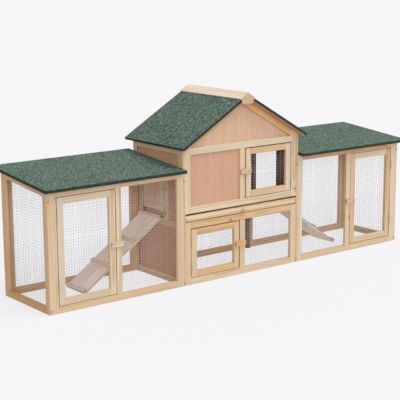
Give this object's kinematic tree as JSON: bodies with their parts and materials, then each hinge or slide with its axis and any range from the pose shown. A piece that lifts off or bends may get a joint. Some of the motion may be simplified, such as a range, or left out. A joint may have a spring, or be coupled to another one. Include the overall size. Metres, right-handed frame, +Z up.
{
  "type": "rabbit hutch",
  "caption": "Two-storey wooden rabbit hutch with a gabled house between two low wire mesh runs, with hinged doors, ramps and a slide-out tray.",
  "frame": {"origin": "centre of the footprint, on the floor", "axes": "+X along the hutch to the right, +Y to the back, +Z up; the doors and the tray face -Y"},
  "size_m": [2.088, 0.443, 0.8377],
  "materials": {
    "pine": "planed, unpainted",
    "plywood": "sanded",
    "roof_ply": "raw",
    "tray_ply": "raw",
    "roof_felt": "mineral grit",
    "wire_mesh": "galvanised",
    "zinc_steel": "zinc plated"
  },
  "bodies": {
    "hutch": {"back_frame": "pine", "back_panels": "plywood", "fixed_hinge_leaves": "zinc_steel", "frame_screws": "zinc_steel", "front_gable_panel": "plywood", "hatch_peg": "zinc_steel", "hinge_pins": "zinc_steel", "house_mesh": "wire_mesh", "left_end_frame": "pine", "left_ramp_board": "plywood", "left_run_back_frame": "pine", "left_run_front_frame": "pine", "left_run_mesh": "wire_mesh", "left_run_roof_board": "roof_ply", "left_run_roof_felt": "roof_felt", "left_slope_board": "roof_ply", "left_slope_felt": "roof_felt", "left_wall_frame": "pine", "left_wall_panels": "plywood", "lower_front_frame": "pine", "rake_battens": "pine", "ramp_cleats": "pine", "ridge_bar": "pine", "right_end_frame": "pine", "right_ramp_board": "plywood", "right_run_back_frame": "pine", "right_run_front_frame": "pine", "right_run_mesh": "wire_mesh", "right_run_roof_board": "roof_ply", "right_run_roof_felt": "roof_felt", "right_slope_board": "roof_ply", "right_slope_felt": "roof_felt", "right_wall_frame": "pine", "right_wall_panels": "plywood", "tray_runners": "pine", "upper_front_frame": "pine", "upper_front_panel": "plywood"},
    "left_run_door": {"left_run_door_frame": "pine", "left_run_door_mesh": "wire_mesh", "left_run_door_fittings": "zinc_steel"},
    "right_run_door": {"right_run_door_frame": "pine", "right_run_door_mesh": "wire_mesh", "right_run_door_fittings": "zinc_steel"},
    "upper_door": {"upper_door_frame": "pine", "upper_door_mesh": "wire_mesh", "upper_door_fittings": "zinc_steel"},
    "lower_door": {"lower_door_frame": "pine", "lower_door_mesh": "wire_mesh", "lower_door_fittings": "zinc_steel"},
    "left_run_button": {"left_run_door_button": "pine"},
    "right_run_button": {"right_run_door_button": "pine"},
    "upper_button": {"upper_door_button": "pine"},
    "lower_button": {"lower_door_button": "pine"},
    "tray": {"tray_box": "tray_ply", "tray_front": "pine", "tray_knob": "pine"},
    "hatch": {"hatch_frame": "pine", "hatch_panel": "plywood", "hatch_leaves": "zinc_steel"},
    "hook": {"hatch_hook": "zinc_steel"}
  },
  "joints": [
    {"name": "left_run_door_hinge", "type": "hinge", "parent": "hutch", "child": "left_run_door", "pos_m": [-0.9745, -0.1885, 0.25], "axis": [0, 0, -1], "range_deg": [0, 110]},
    {"name": "right_run_door_hinge", "type": "hinge", "parent": "hutch", "child": "right_run_door", "pos_m": [0.9745, -0.1885, 0.25], "axis": [0, 0, 1], "range_deg": [0, 110]},
    {"name": "upper_door_hinge", "type": "hinge", "parent": "hutch", "child": "upper_door", "pos_m": [0.2945, -0.1885, 0.25], "axis": [0, 0, 1], "range_deg": [0, 110]},
    {"name": "lower_door_hinge", "type": "hinge", "parent": "hutch", "child": "lower_door", "pos_m": [-0.2945, -0.1885, 0.25], "axis": [0, 0, -1], "range_deg": [0, 110]},
    {"name": "left_run_button_turn", "type": "hinge", "parent": "left_run_door", "child": "left_run_button", "pos_m": [-0.705, -0.1904, 0.249], "axis": [0, -1, 0], "continuous": true},
    {"name": "right_run_button_turn", "type": "hinge", "parent": "right_run_door", "child": "right_run_button", "pos_m": [0.705, -0.1904, 0.249], "axis": [0, -1, 0], "continuous": true},
    {"name": "upper_button_turn", "type": "hinge", "parent": "upper_door", "child": "upper_button", "pos_m": [0.032, -0.1904, 0.476], "axis": [0, -1, 0], "continuous": true},
    {"name": "lower_button_turn", "type": "hinge", "parent": "lower_door", "child": "lower_button", "pos_m": [-0.032, -0.1904, 0.147], "axis": [0, -1, 0], "continuous": true},
    {"name": "tray_slide", "type": "slide", "parent": "hutch", "child": "tray", "axis": [0, -1, 0], "range_m": [0, 0.32]},
    {"name": "hatch_hinge", "type": "hinge", "parent": "hutch", "child": "hatch", "pos_m": [-0.343, 0.113, 0.4], "axis": [0, 0, -1], "range_deg": [0, 95]},
    {"name": "hook_turn", "type": "hinge", "parent": "hatch", "child": "hook", "pos_m": [-0.343, -0.0315, 0.4143], "axis": [-1, 0, 0], "range_deg": [0, 90]}
  ]
}
